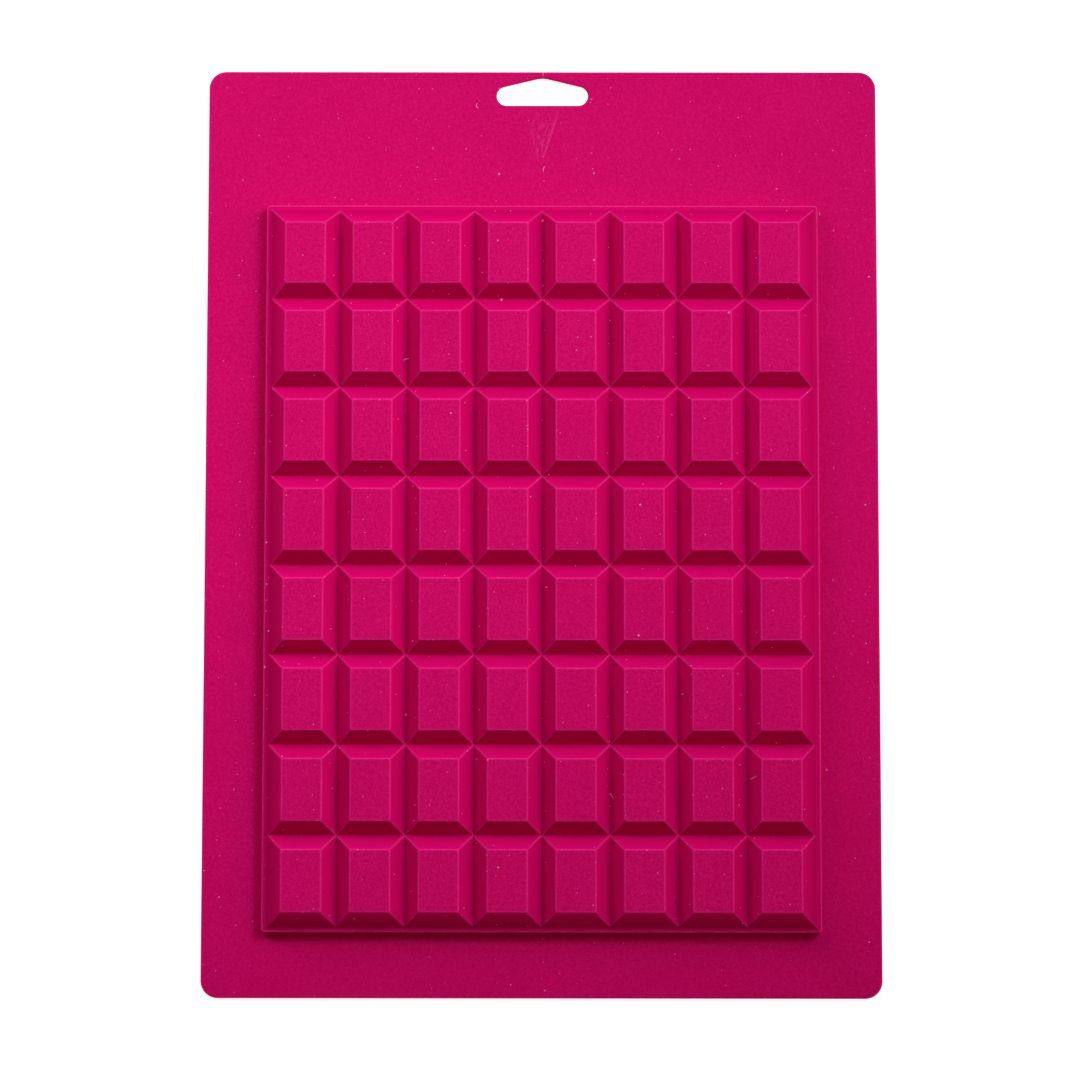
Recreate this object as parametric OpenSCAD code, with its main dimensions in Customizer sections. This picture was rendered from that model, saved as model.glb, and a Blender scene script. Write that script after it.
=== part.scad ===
// Flexible silicone break-apart bar mould: a flat sheet with a hang hole and a
// raised block of bevelled bar cavities, eight across and eight down.
// The cavity side faces down (-Z) and the outside of the cavities faces up (+Z).
// The origin is at the middle of the sheet, on the plane that the rim rests on.
// +Y points at the hang hole, +X to the right. All sizes are in millimetres.
//
// The moulding is divided at its bend lines: each row of cavities is one strip,
// and the strips meet along the V-grooves, which act as living hinges. The plain
// margins above and below the block bend at the feet of the block's end walls.

/* [Sheet] */
// Width of the silicone sheet
sheet_w = 234; // [230:1:250]
// Length of the silicone sheet
sheet_l = 323; // [318:1:340]
// Thickness of the sheet
sheet_t = 1.5; // [1:0.1:2]
// Radius of the sheet's corners
corner_r = 6; // [2:0.5:15]

/* [Hang hole] */
// Width of the hang hole
hang_w = 32; // [24:0.5:40]
// Radius of the hang hole's rounded ends
hang_end_r = 3.44; // [2.5:0.02:3.6]
// Rise of the hang hole's upper edge towards the middle, as a slope
hang_slope = 0.24; // [0.15:0.01:0.3]
// Radius of the rounding at the hang hole's peak
hang_peak_r = 9; // [4:0.5:12]
// Distance from the sheet's top edge down to the hang hole's flat lower edge
hang_drop = 12; // [11:0.1:16]

/* [Bar block] */
// Cavities across
cols = 8; // [2:1:8]
// Spacing of the cavities across
pitch_x = 23.45; // [18:0.05:24]
// Spacing of the cavities along the sheet
pitch_y = 30.95; // [24:0.05:31.5]
// Width of a cavity's bevel, seen from above
bevel_w = 4.88; // [3.5:0.02:6]
// Height of a cavity's bevel above the V-grooves
bevel_h = 5.5; // [4:0.1:6.5]
// Height of the V-grooves above the rim's resting plane
groove_z = 6.7; // [6:0.1:8]
// How far the outermost bevels run down past the groove level, seen from above
skirt_w = 1.0; // [0.6:0.05:1.2]
// Width of the narrow ledge round the block
ledge_w = 1.2; // [0.8:0.05:1.6]
// Thickness of the block's silicone walls and bevels
wall_t = 1.5; // [1.2:0.05:1.8]
// How far the block's centre lies below the sheet's centre
block_drop = 12.9; // [8:0.1:16]

/* [Hidden] */
rows = 8;
silicone = [0.76, 0.04, 0.36];

slope = bevel_h / bevel_w;                     // rise of a bevel for each mm inward
top_z = groove_z + bevel_h;                    // outside of the cavity floors
ledge_z = groove_z - skirt_w * slope;          // narrow ledge round the block
in_drop = wall_t * sqrt(1 + slope * slope);    // wall thickness measured upright
in_groove_z = groove_z - in_drop;              // crest of the ridges between cavities
in_top_z = top_z - wall_t;                     // cavity floor
in_bevel_w = (in_top_z - in_groove_z) / slope; // bevel inside a cavity, seen from above

grid_w = cols * pitch_x;
grid_l = rows * pitch_y;
block_w = grid_w + 2 * (skirt_w + ledge_w);
block_l = grid_l + 2 * (skirt_w + ledge_w);
block_y = -block_drop;
block_top = block_y + block_l / 2;
block_foot = block_y - block_l / 2;

// Height, inside, at which the upright wall turns into the outermost bevel
in_edge_out = skirt_w + ledge_w - wall_t;
in_edge_z = in_groove_z - in_edge_out * slope;

// Bend line above row k: the block's upper edge for k = 1, then the grooves
function bend_y(k) = k <= 1 ? block_top
                   : k > rows ? block_foot
                   : block_y + (rows / 2 - (k - 1)) * pitch_y;

// Outside of the block in section: n cavities at pitch p, standing on z = -1
function outer_section(n, p) = concat(
    [[-n * p / 2 - skirt_w, -1], [-n * p / 2 - skirt_w, ledge_z]],
    [for (i = [0:n - 1]) each concat(
        i == 0 ? [] : [[(i - n / 2) * p, groove_z]],
        [[(i - n / 2) * p + bevel_w, top_z], [(i + 1 - n / 2) * p - bevel_w, top_z]])],
    [[n * p / 2 + skirt_w, ledge_z], [n * p / 2 + skirt_w, -1]]);

// Inside of the block in section, one wall thickness in from the outside
function inner_section(n, p) = concat(
    [[-n * p / 2 - in_edge_out, -2], [-n * p / 2 - in_edge_out, in_edge_z]],
    [for (i = [0:n - 1]) each concat(
        i == 0 ? [] : [[(i - n / 2) * p, in_groove_z]],
        [[(i - n / 2) * p + in_bevel_w, in_top_z], [(i + 1 - n / 2) * p - in_bevel_w, in_top_z]])],
    [[n * p / 2 + in_edge_out, in_edge_z], [n * p / 2 + in_edge_out, -2]]);

// A section across the sheet, run along Y
module run_y(pts, len) {
    translate([0, block_y + len / 2, 0]) rotate([90, 0, 0])
        linear_extrude(height = len) polygon(pts);
}

// A section along the sheet, run across X
module run_x(pts, len) {
    translate([-len / 2, block_y, 0]) rotate([90, 0, 90])
        linear_extrude(height = len) polygon(pts);
}

// A slab between two heights across Y
module band(y0, y1, z0, z1) {
    translate([-sheet_w, y0, z0]) cube([2 * sheet_w, y1 - y0, z1 - z0]);
}

// Half-open hang hole outline: round ends, flat foot, upper edge rising to a peak
module hang_outline() {
    cx = hang_w / 2 - hang_end_r;
    lean = atan(hang_slope);
    tx = cx + hang_end_r * sin(lean);
    ty = hang_end_r + hang_end_r * cos(lean);
    peak = ty + hang_slope * tx;
    yc = peak - hang_peak_r * sqrt(1 + hang_slope * hang_slope);
    translate([0, sheet_l / 2 - hang_drop]) union() {
        for (s = [-1, 1]) translate([s * cx, hang_end_r]) circle(r = hang_end_r, $fn = 64);
        polygon(concat(
            [[-cx, 0], [cx, 0], [tx, ty]],
            [for (a = [lean:-lean / 4:-lean]) [hang_peak_r * sin(a), yc + hang_peak_r * cos(a)]],
            [[-tx, ty]]));
    }
}

// Sheet outline with its rounded corners
module sheet_outline() {
    union() {
        square([sheet_w - 2 * corner_r, sheet_l], center = true);
        square([sheet_w, sheet_l - 2 * corner_r], center = true);
        for (sx = [-1, 1], sy = [-1, 1])
            translate([sx * (sheet_w / 2 - corner_r), sy * (sheet_l / 2 - corner_r)])
                circle(r = corner_r, $fn = 64);
    }
}

// A plain margin of the sheet between two heights on the sheet
module margin(y0, y1) {
    color(silicone)
        linear_extrude(height = sheet_t) intersection() {
            difference() {
                sheet_outline();
                hang_outline();
            }
            translate([-sheet_w, y0]) square([2 * sheet_w, y1 - y0]);
        }
}

// One row of cavities with the parts of the rim beside it
module cavity_row(k) {
    y1 = bend_y(k);
    y0 = bend_y(k + 1);
    color(silicone)
        difference() {
            union() {
                translate([-sheet_w / 2, y0, 0]) cube([sheet_w, y1 - y0, sheet_t]);
                translate([-block_w / 2, y0, 0]) cube([block_w, y1 - y0, ledge_z]);
                intersection() {
                    run_y(outer_section(cols, pitch_x), block_l);
                    run_x(outer_section(rows, pitch_y), block_w);
                    band(y0, y1, 0, top_z + 1);
                }
            }
            intersection() {
                run_y(inner_section(cols, pitch_x), block_l);
                run_x(inner_section(rows, pitch_y), block_w);
                band(y0 - 0.5, y1 + 0.5, -1, top_z);
            }
        }
}

module hang_margin() margin(block_top, sheet_l / 2 + 1);
module cavity_row_1() cavity_row(1);
module cavity_row_2() cavity_row(2);
module cavity_row_3() cavity_row(3);
module cavity_row_4() cavity_row(4);
module cavity_row_5() cavity_row(5);
module cavity_row_6() cavity_row(6);
module cavity_row_7() cavity_row(7);
module cavity_row_8() cavity_row(8);
module lower_margin() margin(-sheet_l / 2 - 1, block_foot);

hang_margin();
cavity_row_1();
cavity_row_2();
cavity_row_3();
cavity_row_4();
cavity_row_5();
cavity_row_6();
cavity_row_7();
cavity_row_8();
lower_margin();
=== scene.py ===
import math

import bmesh
import bpy
import numpy as np
from mathutils import Matrix, Vector
from mathutils.geometry import delaunay_2d_cdt


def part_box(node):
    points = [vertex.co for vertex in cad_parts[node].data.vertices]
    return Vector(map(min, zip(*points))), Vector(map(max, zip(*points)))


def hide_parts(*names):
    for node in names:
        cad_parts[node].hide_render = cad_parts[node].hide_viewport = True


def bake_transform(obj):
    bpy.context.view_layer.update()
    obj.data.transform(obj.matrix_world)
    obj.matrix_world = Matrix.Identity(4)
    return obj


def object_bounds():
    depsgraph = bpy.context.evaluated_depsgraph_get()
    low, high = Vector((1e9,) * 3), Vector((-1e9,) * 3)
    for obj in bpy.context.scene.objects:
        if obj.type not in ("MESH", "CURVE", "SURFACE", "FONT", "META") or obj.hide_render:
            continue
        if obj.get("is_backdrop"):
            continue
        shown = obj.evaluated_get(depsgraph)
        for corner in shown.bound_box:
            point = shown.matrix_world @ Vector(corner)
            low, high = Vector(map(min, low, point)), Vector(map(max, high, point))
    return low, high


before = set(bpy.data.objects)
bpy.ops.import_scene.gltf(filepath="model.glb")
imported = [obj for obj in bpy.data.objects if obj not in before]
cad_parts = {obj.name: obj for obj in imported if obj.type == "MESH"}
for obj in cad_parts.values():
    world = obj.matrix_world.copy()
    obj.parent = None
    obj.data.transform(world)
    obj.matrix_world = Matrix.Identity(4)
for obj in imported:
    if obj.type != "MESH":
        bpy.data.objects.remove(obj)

cad_lo, cad_hi = [v.copy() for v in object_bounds()]
scene = bpy.context.scene
scene.view_settings.view_transform = "Standard"
scene.view_settings.look = "None"

# ---------------------------------------------------------------- frame sizes
# Everything below is in millimetres until the meshes are written.
ROWS, COLS = 8, 8


def box(node):
    lo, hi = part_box(node)
    return np.array(lo) * 1000, np.array(hi) * 1000


hang_lo, hang_hi = box("hang_margin")
low_lo, low_hi = box("lower_margin")
row_box = [box(f"cavity_row_{k}") for k in range(1, ROWS + 1)]
HALF_W = float(hang_hi[0])            # half the sheet's width
TOP_Y, FOOT_Y = float(hang_hi[1]), float(low_lo[1])
SHEET_T = float(hang_hi[2])
BLOCK_TOP, BLOCK_FOOT = float(hang_lo[1]), float(low_hi[1])
BLOCK_Y = (BLOCK_TOP + BLOCK_FOOT) / 2
TOP_Z = float(row_box[0][1][2])
GROOVES_Y = [float(b[0][1]) for b in row_box[:-1]]      # below rows 1 to 7
PITCH_Y = (GROOVES_Y[0] - GROOVES_Y[-1]) / (ROWS - 2)
HALF_L = (BLOCK_TOP - BLOCK_FOOT) / 2
EDGE = HALF_L - ROWS * PITCH_Y / 2                     # grid line to block edge
PITCH_X = 23.45
HALF_B = COLS * PITCH_X / 2 + EDGE                     # half the block's width
BEVEL_W, BEVEL_H, GROOVE_Z = 4.88, 5.5, TOP_Z - 5.5
SKIRT, LEDGE, WALL = 1.0, 1.2, 1.5
SLOPE = BEVEL_H / BEVEL_W
TH = math.atan(SLOPE)
LEDGE_Z = GROOVE_Z - SKIRT * SLOPE
IN_GROOVE = GROOVE_Z - WALL * math.sqrt(1 + SLOPE**2)
IN_TOP = TOP_Z - WALL
CORNER = 6.0

# ---------------------------------------------------------------- profiles
R_TOP, R_V = 0.5, 0.22            # outside: crowned edges, tight grooves
R_IN_TOP, R_IN_V = 0.7, 0.55      # cavity side


def arc(n, a0=0.0, a1=90.0):
    return [math.radians(a0 + (a1 - a0) * i / n) for i in range(n + 1)]


# Height limit of the outside against E, the distance in from the block's edge
RE, RF, DRAFT = 0.42, 0.6, 0.12
CAP_TOP = [(RE - RE * math.sin(a), LEDGE_Z - RE + RE * math.cos(a)) for a in arc(4)]
CAP_TOP += [(-DRAFT * t, LEDGE_Z - RE + (SHEET_T + RF - LEDGE_Z + RE) * t) for t in (0.33, 0.67)]
CAP_TOP += [(-DRAFT - RF * (1 - math.cos(a)), SHEET_T + RF - RF * math.sin(a)) for a in arc(4)]
# Height limit of the cavity side, with the mouth's rounding and the inner wall
RM = 0.45
IN_WALL_Z = IN_GROOVE + SLOPE * (WALL - EDGE)
CAP_BOT = [(WALL - 0.1 - RM + RM * math.sin(a), RM - RM * math.cos(a)) for a in arc(4)]
CAP_BOT += [(WALL - 0.1 + 0.1 * t, RM + (IN_WALL_Z - RM) * t) for t in (0.33, 0.67, 1.0)]
# The sheet's edge against F, the distance in from the outline
RS = 0.4
RIM = [(RS - RS * math.sin(a), RS - RS * math.cos(a)) for a in arc(3)]


def interp(table, x, outside, inside):
    t = sorted(table)
    xs, zs = np.array([p[0] for p in t]), np.array([p[1] for p in t])
    z = np.interp(x, xs, zs)
    z = np.where(x < xs[0], outside, z)
    return np.where(x > xs[-1] + 1e-9, inside, z)


def v_round(d, r):
    """Distance from a V's bottom line, raised near the bottom so that the V is rounded."""
    d = np.abs(d)
    z = np.where(d < r * math.sin(TH), r / math.cos(TH) - np.sqrt(np.maximum(r * r - d * d, 0)), SLOPE * d)
    return z / SLOPE


def top_round(z, top, r):
    """A slope that runs into a flat top with an edge of radius r. z is the slope's own height."""
    d = (z - top) / SLOPE                      # 0 where the sharp edge would be
    dc = r * math.tan(TH / 2)
    s = np.clip(dc - d, 0, None)
    out = np.where(s < r * math.sin(TH), top - r + np.sqrt(np.maximum(r * r - s * s, 0)), z)
    return np.where(d >= dc, top, out)


def smin(a, b, k):
    h = np.maximum(k - np.abs(a - b), 0)
    return np.minimum(a, b) - h * h / (4 * k)


def smax(a, b, k):
    h = np.maximum(k - np.abs(a - b), 0)
    return np.maximum(a, b) + h * h / (4 * k)


# ---------------------------------------------------------------- grid lines
STEP = [0, 0.1, 0.2, 0.6, 1.0, 1.4, 1.8, 2.2, 2.6, 3.0, 3.4, 3.8, 4.2, 4.5]
STEP += [BEVEL_W + d for d in (-0.15, -0.02, 0.11, 0.24, 0.47, 0.87, 1.35)]
OUTER_E = [2.4, 2.1, 1.9, 1.75, 1.6]
OUTER_E += [p[0] for p in CAP_BOT] + [0.7] + [p[0] for p in CAP_TOP] + [-1.1, -1.9, -3.2, -5.0, -7.0]
CORNER_F = [CORNER - CORNER * math.tan(math.radians(7.5 * k)) for k in range(6)]
RIM_F = [p[0] for p in RIM]


def unique(v):
    v = sorted(v)
    out = [v[0]]
    for x in v[1:]:
        if x - out[-1] > 1e-4:
            out.append(x)
    return np.array(out)


def axis_lines(half, n, pitch, extra, sheet_lo, sheet_hi, centre, more):
    """Lines across one axis of the block and the sheet. extra is the spacing on the flat tops."""
    v = []
    for i in range(n + 1):
        g = centre + (i - n / 2) * pitch
        for s in STEP + extra:
            if i < n:
                v.append(g + s)
            if i > 0:
                v.append(g - s)
    for e in OUTER_E:
        v += [centre + half - e, centre - half + e]
    for f in CORNER_F + RIM_F + [0.0]:
        v += [sheet_lo + f, sheet_hi - f]
    return unique(v + more)


XS = axis_lines(HALF_B, COLS, PITCH_X, [8.4, PITCH_X / 2], -HALF_W, HALF_W, 0.0, [])
HOLE_LO_Y, HOLE_HI_Y = TOP_Y - 15.0, TOP_Y - 0.95
YS = axis_lines(
    HALF_L, ROWS, PITCH_Y, [7.0, 8.3, 10.0, 12.6, PITCH_Y / 2], FOOT_Y, TOP_Y, BLOCK_Y,
    [HOLE_LO_Y, HOLE_HI_Y]
    + [BLOCK_TOP + d for d in (8.5, 10, 12, 14, 17, 21, 26)]
    + [BLOCK_FOOT - d for d in (8.5, 10, 12, 14)],
)
CENTRES_Y = [BLOCK_Y + (ROWS / 2 - k - 0.5) * PITCH_Y for k in range(ROWS)]


def nearest(v, n, pitch, centre, r_v):
    """Rounded distance to the nearest V. The outermost slopes run on down, straight, past the last grid line."""
    u = v - centre
    d = np.full(len(v), 1e9)
    for i in range(1, n):
        d = np.minimum(d, v_round(u - (i - n / 2) * pitch, r_v))
    return np.minimum(d, n * pitch / 2 - np.abs(u))


def surface(r_v, r_t, groove, top, ledge):
    dx = nearest(XS, COLS, PITCH_X, 0.0, r_v)[:, None]
    dy = nearest(YS, ROWS, PITCH_Y, BLOCK_Y, r_v)[None, :]
    d = smin(dx, dy, 0.75)
    z = top_round(groove + SLOPE * d, top, r_t)
    if ledge is not None:
        z = smax(z, ledge + 0 * z, 0.3)
    return z, d, dx, dy


EX = HALF_B - np.abs(XS)
EY = HALF_L - np.abs(YS - BLOCK_Y)
FX = HALF_W - np.abs(XS)
FY = np.minimum(TOP_Y - YS, YS - FOOT_Y)

z_top, d_top, dx_top, dy_top = surface(R_V, R_TOP, GROOVE_Z, TOP_Z, LEDGE_Z)
cap = np.minimum(interp(CAP_TOP, EX, SHEET_T, 1e3)[:, None], interp(CAP_TOP, EY, SHEET_T, 1e3)[None, :])
z_top = np.minimum(z_top, cap)
rim_x = interp(RIM, FX, RS, 0.0)[:, None]
rim_y = interp(RIM, FY, RS, 0.0)[None, :]
rim = np.maximum(rim_x, rim_y)
z_top = np.where(rim > 0, SHEET_T - rim, z_top)

z_bot, _, _, _ = surface(R_IN_V, R_IN_TOP, IN_GROOVE, IN_TOP, None)
cap = np.minimum(interp(CAP_BOT, EX, 0.0, 1e3)[:, None], interp(CAP_BOT, EY, 0.0, 1e3)[None, :])
z_bot = np.clip(np.minimum(z_bot, cap), 0, None)
z_bot = np.where(rim > 0, rim, z_bot)


def rounded(x, y, cx, cy, fade=None):
    """Turns a square corner beyond (cx, cy) into a round one. x and y are measured outwards."""
    ax, ay = x - cx, y - cy
    m = np.maximum(ax, ay)
    r = np.sqrt(ax * ax + ay * ay)
    inside = (ax > 0) & (ay > 0)
    s = np.where(inside, m / np.maximum(r, 1e-9), 1.0)
    if fade is not None:
        f = np.clip(1 - (m - fade[0]) / (fade[1] - fade[0]), 0, 1)
        s = 1 + (s - 1) * f
    return np.where(inside, cx + ax * s, x), np.where(inside, cy + ay * s, y)


def plan(block_r, block_in):
    """Plan positions with the sheet's and the block's corners rounded."""
    x, y = np.meshgrid(XS, YS, indexing="ij")
    for sx in (-1, 1):
        for sy in (-1, 1):
            mid = (TOP_Y + FOOT_Y) / 2
            px, py = rounded(x * sx, (y - mid) * sy, HALF_W - CORNER, (TOP_Y - FOOT_Y) / 2 - CORNER)
            x, y = px * sx, py * sy + mid
            px, py = rounded(
                x * sx, (y - BLOCK_Y) * sy, HALF_B - block_in, HALF_L - block_in,
                (block_r + 0.8, block_r + 7.0),
            )
            x, y = px * sx, py * sy + BLOCK_Y
    return x, y


x_top, y_top = plan(1.25, 1.25)
x_bot, y_bot = plan(2.9, 2.9)

# ---------------------------------------------------------------- hang hole outline
HANG_W, HANG_R, HANG_SLOPE, HANG_PEAK, HANG_DROP = 32.0, 3.44, 0.24, 9.0, 12.0


def hang_outline():
    cx = HANG_W / 2 - HANG_R
    lean = math.atan(HANG_SLOPE)
    y0 = TOP_Y - HANG_DROP
    pts = [(x, y0) for x in np.linspace(-cx, cx, 13)[:-1]]
    pts += [(cx + HANG_R * math.sin(a), y0 + HANG_R - HANG_R * math.cos(a)) for a in np.linspace(0, math.pi - lean, 22)]
    tx, ty = cx + HANG_R * math.sin(lean), HANG_R + HANG_R * math.cos(lean)
    peak = ty + HANG_SLOPE * tx
    yc = peak - HANG_PEAK * math.sqrt(1 + HANG_SLOPE**2)
    ax, ay = HANG_PEAK * math.sin(lean), yc + HANG_PEAK * math.cos(lean)
    pts += [(tx + (ax - tx) * t, y0 + ty + (ay - ty) * t) for t in np.linspace(0, 1, 7)[1:]]
    pts += [(HANG_PEAK * math.sin(a), y0 + yc + HANG_PEAK * math.cos(a)) for a in np.linspace(lean, -lean, 9)[1:]]
    pts += [(-ax + (-tx + ax) * t, y0 + ay + (ty - ay) * t) for t in np.linspace(0, 1, 7)[1:]]
    pts += [(-cx - HANG_R * math.sin(a), y0 + HANG_R - HANG_R * math.cos(a)) for a in np.linspace(math.pi - lean, 0, 22)[1:-1]]
    return np.array(pts)


HOLE = hang_outline()
nxt, prv = np.roll(HOLE, -1, 0), np.roll(HOLE, 1, 0)
tangent = (nxt - prv) / np.linalg.norm(nxt - prv, axis=1)[:, None]
HOLE_OUT = np.stack([tangent[:, 1], -tangent[:, 0]], 1)     # away from the hole, the outline runs anticlockwise


def in_polygon(p, poly):
    x, y = p
    inside = False
    for (x0, y0), (x1, y1) in zip(poly, np.roll(poly, -1, 0)):
        if (y0 > y) != (y1 > y) and x < (x1 - x0) * (y - y0) / (y1 - y0) + x0:
            inside = not inside
    return inside


# ---------------------------------------------------------------- one closed shell
NX, NY = len(XS), len(YS)
verts = [np.stack([x_top, y_top, z_top], -1).reshape(-1, 3), np.stack([x_bot, y_bot, z_bot], -1).reshape(-1, 3)]
T0, B0 = 0, NX * NY


def t_id(i, j):
    return T0 + i * NY + j


def b_id(i, j):
    return B0 + i * NY + j


PX = int(np.argmin(np.abs(XS - 19.4)))
PX0, PX1 = NX - 1 - PX, PX
PY0, PY1 = int(np.argmin(np.abs(YS - HOLE_LO_Y))), int(np.argmin(np.abs(YS - HOLE_HI_Y)))
I, J = np.meshgrid(np.arange(NX - 1), np.arange(NY - 1), indexing="ij")
keep = ~((I >= PX0) & (I < PX1) & (J >= PY0) & (J < PY1))
I, J = I[keep], J[keep]


def grid_faces(i, j, ids, up):
    """The grid's quads, facing up or down."""
    a, b, c, d = ids(i, j), ids(i + 1, j), ids(i + 1, j + 1), ids(i, j + 1)
    q = np.stack([a, b, c, d], 1)
    return q if up else q[:, ::-1]


co = np.concatenate(verts)
quads = np.concatenate([grid_faces(I, J, t_id, True), grid_faces(I, J, b_id, False)])
# A quad that isn't flat is split along its shorter way over the fold, so mitres stay straight
p = co[quads]
twist = np.abs(p[:, 0, 2] + p[:, 2, 2] - p[:, 1, 2] - p[:, 3, 2])
flat = twist < 1e-6
fold = (p[:, 0, 2] + p[:, 2, 2]) > (p[:, 1, 2] + p[:, 3, 2])
faces = [tuple(q) for q in quads[flat]]
for q, f in zip(quads[~flat], fold[~flat]):
    if f:
        faces += [(q[0], q[1], q[2]), (q[0], q[2], q[3])]
    else:
        faces += [(q[0], q[1], q[3]), (q[1], q[2], q[3])]

# The sheet's outer edge
ring = [(i, 0) for i in range(NX)] + [(NX - 1, j) for j in range(1, NY)]
ring += [(i, NY - 1) for i in range(NX - 2, -1, -1)] + [(0, j) for j in range(NY - 2, 0, -1)]
for (i0, j0), (i1, j1) in zip(ring, ring[1:] + ring[:1]):
    faces.append((b_id(i0, j0), b_id(i1, j1), t_id(i1, j1), t_id(i0, j0)))

# The hang hole: rounded rings round the hole, then a flat infill out to the grid
hole_rings = []
base = len(co)
extra = []
n_h = len(HOLE)
levels = [(f, SHEET_T - z) for f, z in RIM] + [(f, z) for f, z in RIM[::-1]]
for f, z in levels:
    hole_rings.append(base + len(extra) * n_h)
    extra.append(np.column_stack([HOLE + HOLE_OUT * f, np.full(n_h, z)]))
co = np.concatenate([co] + extra)
for a, b in zip(hole_rings[:-1], hole_rings[1:]):
    for k in range(n_h):
        m = (k + 1) % n_h
        faces.append((a + k, a + m, b + m, b + k))
patch = [(i, PY0) for i in range(PX0, PX1)] + [(PX1, j) for j in range(PY0, PY1)]
patch += [(i, PY1) for i in range(PX1, PX0, -1)] + [(PX0, j) for j in range(PY1, PY0, -1)]
for ids, start, up in ((t_id, hole_rings[0], True), (b_id, hole_rings[-1], False)):
    outer = [int(ids(i, j)) for i, j in patch]
    inner = [start + k for k in range(n_h)]
    all_ids = outer + inner
    pts = [Vector(co[k][:2]) for k in all_ids]
    n_o = len(outer)
    # a few free points keep the infill's triangles even
    free = []
    for gx in np.linspace(XS[PX0] + 1.5, XS[PX1] - 1.5, 20):
        for gy in np.linspace(YS[PY0] + 1.3, YS[PY1] - 1.3, 8):
            gap = np.min(np.linalg.norm(HOLE - np.array([gx, gy]), axis=1))
            if gap > 1.2 and not in_polygon((gx, gy), HOLE):
                free.append((gx, gy))
    pts += [Vector(q) for q in free]
    edges = [(k, (k + 1) % n_o) for k in range(n_o)]
    edges += [(n_o + k, n_o + (k + 1) % n_h) for k in range(n_h)]
    v2, _, f2, orig, _, _ = delaunay_2d_cdt(pts, edges, [], 0, 1e-7)
    z = co[outer[0]][2]
    remap = {}
    for k, o in enumerate(orig):
        if o and o[0] < len(all_ids):
            remap[k] = all_ids[o[0]]
        else:
            remap[k] = len(co)
            co = np.vstack([co, [v2[k][0], v2[k][1], z]])
    ring_poly = HOLE + HOLE_OUT * RIM[0][0]
    for t in f2:
        c = sum((Vector(v2[k]) for k in t), Vector((0, 0))) / len(t)
        if in_polygon(c, ring_poly):
            continue
        t = [remap[k] for k in t]
        a, b, d = co[t[0]], co[t[1]], co[t[2]]
        anti = (b[0] - a[0]) * (d[1] - a[1]) - (b[1] - a[1]) * (d[0] - a[0]) > 0
        faces.append(tuple(t) if anti == up else tuple(t[::-1]))

# ---------------------------------------------------------------- surface masks
# wear: 1 on crowned edges, which rub, catch dust and carry a painted highlight; face: 1 on the grained flats;
# inner: 1 on the cavity side; up: 0 on the upright walls, where dust doesn't settle;
# rise: 0 at the bottom of a groove to 1 at a tile's edge; it paints shade low in the grooves and glow near the edges
n_all = len(co)
wear_and_highlight, face, inner, up = np.zeros(n_all), np.zeros(n_all), np.zeros(n_all), np.ones(n_all)
rise = np.full(n_all, 0.5)


def bump_at(v, centre, width):
    return np.exp(-(((v - centre) / width) ** 2))


on_block = (EX[:, None] > 0) & (EY[None, :] > 0)
# Crowned edges, mitre ridges, the ledge rim and the sheet's rim: wear, and a painted highlight where light catches them
w_top = bump_at(d_top, BEVEL_W + 0.02, 0.24) * on_block
ridge = np.clip(1 - np.abs(dx_top - dy_top) / 0.55, 0, 1) * (d_top > -0.9) * (d_top < BEVEL_W + 0.1) * on_block
e_min = np.minimum(EX[:, None], EY[None, :])
w_ledge = 1.35 * bump_at(e_min, 0.14, 0.24)
f_min = np.minimum(FX[:, None], FY[None, :])
w_rim = bump_at(f_min, 0.1, 0.25)
wear_and_highlight[: NX * NY] = np.clip(np.maximum.reduce([0.85 * w_top, 0.7 * ridge, w_ledge, 0.6 * w_rim]), 0, 1).ravel()
flat_top = np.clip((d_top - BEVEL_W - 0.15) / 0.3, 0, 1) * on_block
flat_sheet = np.clip((-e_min - 0.5) / 0.6, 0, 1) * np.ones_like(d_top)
face[: NX * NY] = np.maximum(flat_top, 0.75 * flat_sheet).ravel()
face[2 * NX * NY :] = 0.75
inner[NX * NY : 2 * NX * NY] = 1.0
# Near the block's edge the facet shading is held up, so the ledge and the wall get no painted groove shade
low_rise = 0.6 * np.clip(1 - d_top / 0.9, 0, 1) * (e_min < SKIRT + 0.8)
rise[: NX * NY] = np.where(on_block, np.maximum(np.clip((z_top - GROOVE_Z) / BEVEL_H, 0, 1), low_rise), 0.5).ravel()
steep = (e_min > -0.9) & (e_min < 0.35)
up[: NX * NY] = np.where(steep, 0.0, 1.0).ravel()
up[NX * NY : 2 * NX * NY] = np.where((e_min > 0.8) & (e_min < 2.0), 0.0, 1.0).ravel()

# ---------------------------------------------------------------- split into strips
cuts = [1e9] + CENTRES_Y + [-1e9]
fy = np.array([co[list(f)][:, 1].mean() for f in faces])
BODIES = ["hang_margin"] + [f"row_{k}" for k in range(1, ROWS + 1)] + ["lower_margin"]
NODES = ["hang_margin"] + [f"cavity_row_{k}" for k in range(1, ROWS + 1)] + ["lower_margin"]
BLEND = 9.0


def cap_loop(me_edges, keep_y, pts):
    """Orders the boundary edges that lie on the plane y = keep_y into one loop."""
    link = {}
    for a, b in me_edges:
        if abs(pts[a][1] - keep_y) < 1e-6 and abs(pts[b][1] - keep_y) < 1e-6:
            link.setdefault(a, []).append(b)
            link.setdefault(b, []).append(a)
    start = next(iter(link))
    loop, last, here = [start], None, start
    while True:
        step = [k for k in link[here] if k != last][0]
        if step == start:
            return loop
        loop.append(step)
        last, here = here, step


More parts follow.
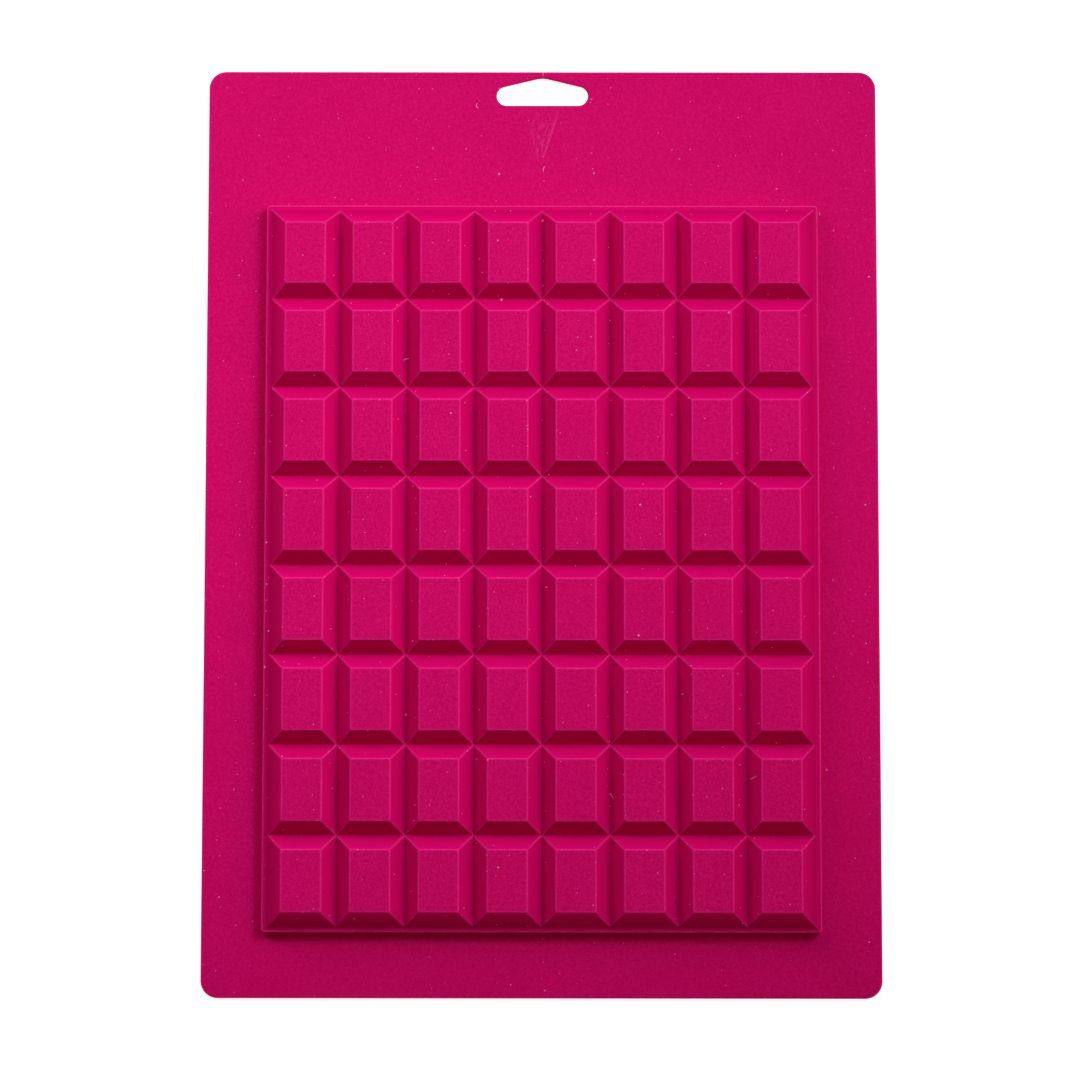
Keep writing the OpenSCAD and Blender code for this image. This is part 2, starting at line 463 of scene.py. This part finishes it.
def build_strip(k):
    hi, lo = cuts[k], cuts[k + 1]
    mine = [f for f, y in zip(faces, fy) if lo < y <= hi]
    used = sorted({v for f in mine for v in f})
    new = {v: n for n, v in enumerate(used)}
    pts = co[used]
    polys = [tuple(new[v] for v in f) for f in mine]
    count = {}
    for f in polys:
        for a, b in zip(f, f[1:] + f[:1]):
            e = (min(a, b), max(a, b))
            count[e] = count.get(e, 0) + 1
    border = [e for e, c in count.items() if c == 1]
    me = bpy.data.meshes.new(f"moulding_{k + 1}")
    me.from_pydata((pts / 1000).tolist(), [], polys)
    for name, data in (("wear_and_highlight", wear_and_highlight), ("face", face), ("inner", inner), ("up", up), ("rise", rise)):
        me.attributes.new(name, "FLOAT", "POINT").data.foreach_set("value", data[used].astype(np.float32))
    me.attributes.new("rest", "FLOAT_VECTOR", "POINT").data.foreach_set("vector", (pts / 1000).astype(np.float32).ravel())
    bm = bmesh.new()
    bm.from_mesh(me)
    bm.verts.ensure_lookup_table()
    for f in bm.faces:
        f.smooth = True
    for y in (hi, lo):
        if abs(y) > 1e8:
            continue
        loop = cap_loop(border, y, pts)
        poly = np.array([pts[v][[0, 2]] for v in loop])
        area = np.sum(poly[:, 0] * np.roll(poly[:, 1], -1) - np.roll(poly[:, 0], -1) * poly[:, 1])
        # seen along +Y, x right and z up, an anticlockwise loop faces -Y
        if (area > 0) != (y == lo):
            loop = loop[::-1]
        cap_face = bm.faces.new([bm.verts[v] for v in loop])
        for e in cap_face.edges:
            e.smooth = False
        bmesh.ops.triangulate(bm, faces=[cap_face], quad_method="BEAUTY", ngon_method="EAR_CLIP")
    bm.to_mesh(me)
    bm.free()
    me.validate()
    ob = bpy.data.objects.new(me.name, me)
    scene.collection.objects.link(ob)
    return ob


# ---------------------------------------------------------------- silicone
FACET_GROOVE_SHADE = (0.532, 0.0004, 0.102, 1)    # smooth, clean facets, painted darker as shade from the groove ... ... to painted glow at the tile's edge, as if lit through the thin silicone
FACET_EDGE_GLOW = (0.700, 0.0009, 0.148, 1)   # ... to the tile's edge, where the thin silicone glows
FLAT = (0.622, 0.0016, 0.122, 1)      # grained flats, a little dusty
PALE = (0.810, 0.0120, 0.210, 1)      # high spots of the grain
RUBBED_AND_HIGHLIGHT = (0.960, 0.0420, 0.330, 1)    # crowned edges: rubbed wear with a painted highlight
DUST = (1.000, 0.4200, 0.700, 1)
LINT = (1.000, 0.5600, 0.800, 1)


class Nodes:
    """Short names for the nodes that the material is built from. Lengths in it are in millimetres."""

    def __init__(self, tree):
        self.tree = tree
        self.rest = self.vec("MULTIPLY", self.attr("rest", "Vector"), (1000, 1000, 1000))

    def new(self, kind):
        return self.tree.nodes.new(kind)

    def put(self, socket, value):
        if isinstance(value, (int, float, tuple)):
            socket.default_value = value
        else:
            self.tree.links.new(value, socket)

    def attr(self, name, output="Fac"):
        n = self.new("ShaderNodeAttribute")
        n.attribute_name = name
        return n.outputs[output]

    def math(self, op, *values, clamp=False):
        n = self.new("ShaderNodeMath")
        n.operation, n.use_clamp = op, clamp
        for socket, value in zip(n.inputs, values):
            self.put(socket, value)
        return n.outputs[0]

    def vec(self, op, a, b):
        n = self.new("ShaderNodeVectorMath")
        n.operation = op
        self.put(n.inputs[0], a)
        self.put(n.inputs[1], b)
        return n.outputs[0]

    def mix(self, factor, a, b):
        n = self.new("ShaderNodeMix")
        n.data_type = "RGBA"
        self.put(n.inputs[0], factor)
        self.put(n.inputs[6], a)
        self.put(n.inputs[7], b)
        return n.outputs[2]

    def noise(self, scale, detail=2.0, rough=0.5, at=None):
        n = self.new("ShaderNodeTexNoise")
        self.put(n.inputs["Vector"], at or self.rest)
        n.inputs["Scale"].default_value = scale
        n.inputs["Detail"].default_value = detail
        n.inputs["Roughness"].default_value = rough
        return n.outputs["Fac"]

    def cells(self, size):
        """Random points in plan, about one per square of the given side. Gives the offset from the nearest, its
        distance and three random numbers that belong to it."""
        n = self.new("ShaderNodeTexVoronoi")
        n.voronoi_dimensions = "2D"
        at = self.vec("MULTIPLY", self.rest, (1 / size, 1 / size, 0))
        self.put(n.inputs["Vector"], at)
        n.inputs["Scale"].default_value = 1.0
        split = self.new("ShaderNodeSeparateColor")
        self.put(split.inputs[0], n.outputs["Color"])
        offset = self.vec("MULTIPLY", self.vec("SUBTRACT", at, n.outputs["Position"]), (size, size, 0))
        return offset, self.math("MULTIPLY", n.outputs["Distance"], size), split.outputs

    def xy(self, v):
        n = self.new("ShaderNodeSeparateXYZ")
        self.put(n.inputs[0], v)
        return n.outputs[0], n.outputs[1]

    def turn(self, v, angle):
        n = self.new("ShaderNodeVectorRotate")
        n.rotation_type = "Z_AXIS"
        self.put(n.inputs["Vector"], v)
        self.put(n.inputs["Angle"], angle)
        return n.outputs[0]

    def specks(self, size, share, r0, r1):
        """Round-ish specks: share is the part of the cells that has one, r0 to r1 their radius."""
        _, far, rnd = self.cells(size)
        chosen = self.math("LESS_THAN", rnd[0], share)
        radius = self.math("MULTIPLY_ADD", rnd[1], r1 - r0, r0)
        rough = self.math("MULTIPLY_ADD", self.noise(4.0, 1.0), 0.5, 0.75)
        inside = self.math("SUBTRACT", 1.0, self.math("DIVIDE", far, self.math("MULTIPLY", radius, rough)), clamp=True)
        soft = self.math("MULTIPLY", inside, 2.2, clamp=True)
        return self.math("MULTIPLY", self.math("MULTIPLY", soft, chosen), self.math("MULTIPLY_ADD", rnd[2], 0.6, 0.4))

    def fibres(self, size, share, length, width):
        """Short curved fibres of lint."""
        offset, _, rnd = self.cells(size)
        x, y = self.xy(self.turn(offset, self.math("MULTIPLY", rnd[1], 6.28)))
        bend = self.math("MULTIPLY", self.math("MULTIPLY", x, x), self.math("MULTIPLY_ADD", rnd[2], 0.9, -0.25))
        across = self.math("ABSOLUTE", self.math("SUBTRACT", y, bend))
        line = self.math("SUBTRACT", 1.0, self.math("DIVIDE", across, width), clamp=True)
        ends = self.math("LESS_THAN", self.math("ABSOLUTE", x), length / 2)
        return self.math("MULTIPLY", self.math("MULTIPLY", self.math("MULTIPLY", line, 1.8, clamp=True), ends), self.math("LESS_THAN", rnd[0], share))


def silicone():
    m = bpy.data.materials.new("magenta_silicone")
    m.use_nodes = True
    m.node_tree.nodes.clear()
    n = Nodes(m.node_tree)
    out, bsdf = n.new("ShaderNodeOutputMaterial"), n.new("ShaderNodeBsdfPrincipled")
    n.put(out.inputs[0], bsdf.outputs[0])
    face, wear_and_highlight, inner, plan_up = n.attr("face"), n.attr("wear_and_highlight"), n.attr("inner"), n.attr("up")

    grain = n.noise(1.7, 2.0, 0.65)              # matt grain of about half a millimetre
    mottle = n.noise(0.75, 2.0, 0.55)            # millimetre unevenness
    cloud = n.noise(0.035, 2.0, 0.5)             # faint, wide colour drift

    # colour: smooth facets painted from shade in the grooves to glow at the tile's edges, grained flats with pale high
    # spots
    body = n.mix(face, n.mix(n.attr("rise"), FACET_GROOVE_SHADE, FACET_EDGE_GLOW), FLAT)
    high = n.math("ADD", n.math("MULTIPLY", grain, 0.78), n.math("MULTIPLY", mottle, 0.22))
    high = n.math("MULTIPLY", n.math("SUBTRACT", high, 0.43), 5.0, clamp=True)
    body = n.mix(n.math("MULTIPLY", high, n.math("MULTIPLY_ADD", face, 0.58, 0.06)), body, PALE)
    body = n.mix(n.math("MULTIPLY", n.math("SUBTRACT", cloud, 0.45), 0.9, clamp=True), body, (0.575, 0.0008, 0.110, 1))

    # crowned edges, rubbed unevenly, and lightened as a painted highlight
    rub_and_highlight = n.math("MULTIPLY", wear_and_highlight, n.math("MULTIPLY_ADD", n.noise(1.6, 2.0, 0.6), 1.4, -0.05, clamp=True))
    body = n.mix(n.math("MULTIPLY", rub_and_highlight, 0.9, clamp=True), body, RUBBED_AND_HIGHLIGHT)

    # faint pale scuffs that fan out up to the hang hole
    px, py = n.xy(n.vec("SUBTRACT", n.rest, (-3.5, TOP_Y - 43.2, 0.0)))
    lean = n.math("DIVIDE", px, n.math("MAXIMUM", py, 2.0))
    comb = n.new("ShaderNodeCombineXYZ")
    n.put(comb.inputs[0], lean)
    n.put(comb.inputs[1], n.math("MULTIPLY", py, 0.012))
    streak = n.math("MULTIPLY", n.math("SUBTRACT", n.noise(26.0, 2.0, 0.6, comb.outputs[0]), 0.475), 4.0, clamp=True)
    side = n.math("MULTIPLY", n.math("SUBTRACT", 1.0, n.math("ABSOLUTE", n.math("DIVIDE", n.math("SUBTRACT", lean, 0.12), 0.21))), 2.0, clamp=True)
    longest = n.math("SUBTRACT", 1.0, n.math("ABSOLUTE", n.math("DIVIDE", n.math("SUBTRACT", lean, 0.31), 0.028)), clamp=True)
    along = n.math("MULTIPLY", n.math("DIVIDE", n.math("SUBTRACT", py, 10.5), 4.0, clamp=True),
                   n.math("DIVIDE", n.math("SUBTRACT", 31.0, py), 9.0, clamp=True))
    scuff = n.math("MULTIPLY", n.math("MAXIMUM", n.math("MULTIPLY", streak, side), longest), along)
    scuff = n.math("MULTIPLY", scuff, n.math("MULTIPLY_ADD", grain, 0.8, 0.5))
    body = n.mix(n.math("MULTIPLY", scuff, 0.56), body, (0.86, 0.060, 0.300, 1))

    # dust and lint, most of it caught on the edges
    dust = n.math("MAXIMUM", n.specks(5.6, 0.30, 0.09, 0.22), n.specks(16.0, 0.15, 0.26, 0.44))
    caught = n.math("MULTIPLY", n.specks(1.7, 0.16, 0.10, 0.30), n.math("MULTIPLY", wear_and_highlight, n.math("GREATER_THAN", n.noise(0.11, 1.0), 0.50)))
    dust = n.math("MULTIPLY", n.math("MAXIMUM", dust, caught), plan_up)
    body = n.mix(n.math("MULTIPLY", dust, 0.92), body, DUST)
    lint = n.math("MULTIPLY", n.fibres(24.0, 0.06, 1.9, 0.11), plan_up)
    body = n.mix(n.math("MULTIPLY", lint, 0.75), body, LINT)
    n.put(bsdf.inputs["Base Color"], body)

    # finish: matt outside, smoother where the castings form
    bsdf.inputs["Specular IOR Level"].default_value = 0.03
    bsdf.inputs["IOR"].default_value = 1.41
    rough = n.math("MULTIPLY_ADD", mottle, 0.12, n.math("MULTIPLY_ADD", inner, -0.16, 0.48))
    n.put(bsdf.inputs["Roughness"], rough)

    relief = n.math("ADD", n.math("MULTIPLY", grain, n.math("MULTIPLY_ADD", face, 0.5, 0.25)), n.math("MULTIPLY", mottle, 0.6))
    relief = n.math("ADD", relief, n.math("MULTIPLY", n.math("MAXIMUM", dust, lint), 0.9))
    bump = n.new("ShaderNodeBump")
    bump.inputs["Strength"].default_value = 0.3
    bump.inputs["Distance"].default_value = 0.00014
    n.put(bump.inputs["Height"], relief)
    n.put(bsdf.inputs["Normal"], bump.outputs[0])
    return m


mat = silicone()
for k in range(ROWS + 1):
    ob = build_strip(k)
    ob.data.materials.append(mat)
    a, b = BODIES[k], BODIES[k + 1]
    if k == 0:
        start, end = (0, (BLOCK_TOP + 11.0) / 1000, 0), (0, (BLOCK_TOP + 0.3) / 1000, 0)
    elif k == ROWS:
        start, end = (0, (BLOCK_FOOT - 0.3) / 1000, 0), (0, (BLOCK_FOOT - 11.0) / 1000, 0)
    else:
        g = GROOVES_Y[k - 1]
        start, end = (0, (g + BLEND) / 1000, 0), (0, (g - BLEND) / 1000, 0)
    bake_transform(ob)
    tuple(start)
    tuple(end)
    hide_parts(NODES[k], NODES[k + 1])

# ---------------------------------------------------------------- floor, light, camera
def plain_floor(name, level, grey, glow, tint=(1, 1, 1, 1)):
    me = bpy.data.meshes.new(name)
    s = 6.0
    me.from_pydata([(-s, -s, level), (s, -s, level), (s, s, level), (-s, s, level)], [], [(0, 1, 2, 3)])
    ob = bpy.data.objects.new(name, me)
    scene.collection.objects.link(ob)
    m = bpy.data.materials.new(name)
    m.use_nodes = True
    b = m.node_tree.nodes["Principled BSDF"]
    b.inputs["Base Color"].default_value = (grey, grey, grey, 1)
    b.inputs["Roughness"].default_value = 0.9
    b.inputs["Specular IOR Level"].default_value = 0.0
    b.inputs["Emission Color"].default_value = tint
    b.inputs["Emission Strength"].default_value = glow
    me.materials.append(m)
    ob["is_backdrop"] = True
    return ob


def softbox(name, azimuth, elevation, far, size, power, aim=(0, 0, 0), spread=180, colour=(1, 1, 1)):
    """A square softbox seen from the sheet's centre at azimuth (from +Y towards +X) and elevation, in degrees."""
    az, el = math.radians(azimuth), math.radians(elevation)
    where = Vector((math.sin(az) * math.cos(el), math.cos(az) * math.cos(el), math.sin(el))) * far
    li = bpy.data.lights.new(name, "AREA")
    li.shape = "SQUARE"
    li.size, li.energy, li.spread, li.color = size, power, math.radians(spread), colour
    ob = bpy.data.objects.new(name, li)
    scene.collection.objects.link(ob)
    ob.location = where
    ob.rotation_mode = "QUATERNION"
    ob.rotation_quaternion = (Vector(aim) - where).to_track_quat("-Z", "Y")


# The white floor that is seen doesn't light the object. A warmer one under it gives the soft bounce.
seen = plain_floor("floor", -0.0004, 0.80, 0.85)
seen.visible_diffuse = seen.visible_glossy = False
bounce = plain_floor("floor_bounce", -0.0006, 0.35, 0.95, (1, 0.45, 0.58, 1))
bounce.visible_camera = False
world = bpy.data.worlds.new("studio")
scene.world = world
world.use_nodes = True
world.node_tree.nodes["Background"].inputs[0].default_value = (1, 1, 1, 1)
world.node_tree.nodes["Background"].inputs[1].default_value = 0.85
world.cycles_visibility.diffuse = False       # a white backdrop that doesn't flatten the light
world.cycles_visibility.glossy = False
softbox("key_left", -45, 32, 0.9, 0.42, 3.92, colour=(1.00, 0.95, 0.89))
softbox("key_right_low", 45, 32, 0.9, 0.42, 1.04, colour=(0.62, 0.81, 1.00))
softbox("key_right", 45, 50, 0.9, 0.42, 2.09, colour=(0.89, 0.95, 1.00))
softbox("side_right", 90, 40, 0.9, 0.45, 0.4, colour=(0.77, 0.89, 1.00))
softbox("fill_foot", 180, 45, 0.9, 0.45, 0.6, colour=(1.00, 0.42, 0.56))
softbox("feathered", 45, 45, 0.9, 0.42, 0.29, aim=(-0.16, 0, 0), spread=35, colour=(0.79, 0.89, 1.00))
softbox("feathered_low", 90, 35, 0.9, 0.42, 0.125, aim=(-0.16, 0.05, 0), spread=30, colour=(1.00, 0.15, 0.10))

# The camera looks almost straight down, from a little below the sheet's centre
DIST, TILT, ROLL, YAW = 1.1304, 0.0886, -0.0010, -0.0011
cam_data = bpy.data.cameras.new("camera")
cam_data.sensor_width = 36.0
cam_data.lens = 3252.28 / 1080 * 36.0
cam_data.clip_start, cam_data.clip_end = 0.05, 20
cam = bpy.data.objects.new("camera", cam_data)
scene.collection.objects.link(cam)
scene.camera = cam
rx = Matrix(((1, 0, 0), (0, math.cos(TILT), math.sin(TILT)), (0, -math.sin(TILT), math.cos(TILT))))
ry = Matrix(((math.cos(YAW), 0, math.sin(YAW)), (0, 1, 0), (-math.sin(YAW), 0, math.cos(YAW))))
rz = Matrix(((math.cos(ROLL), -math.sin(ROLL), 0), (math.sin(ROLL), math.cos(ROLL), 0), (0, 0, 1)))
rot = (rz @ ry @ rx).transposed()            # columns: camera right, up and back in the row frame
place = rot @ Vector((-0.000669, -0.003555, DIST))
cam.matrix_world = Matrix.Translation(place) @ rot.to_4x4()

now_lo, now_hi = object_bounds()
{"cad": [list(cad_lo), list(cad_hi)], "visual": [list(now_lo), list(now_hi)]}
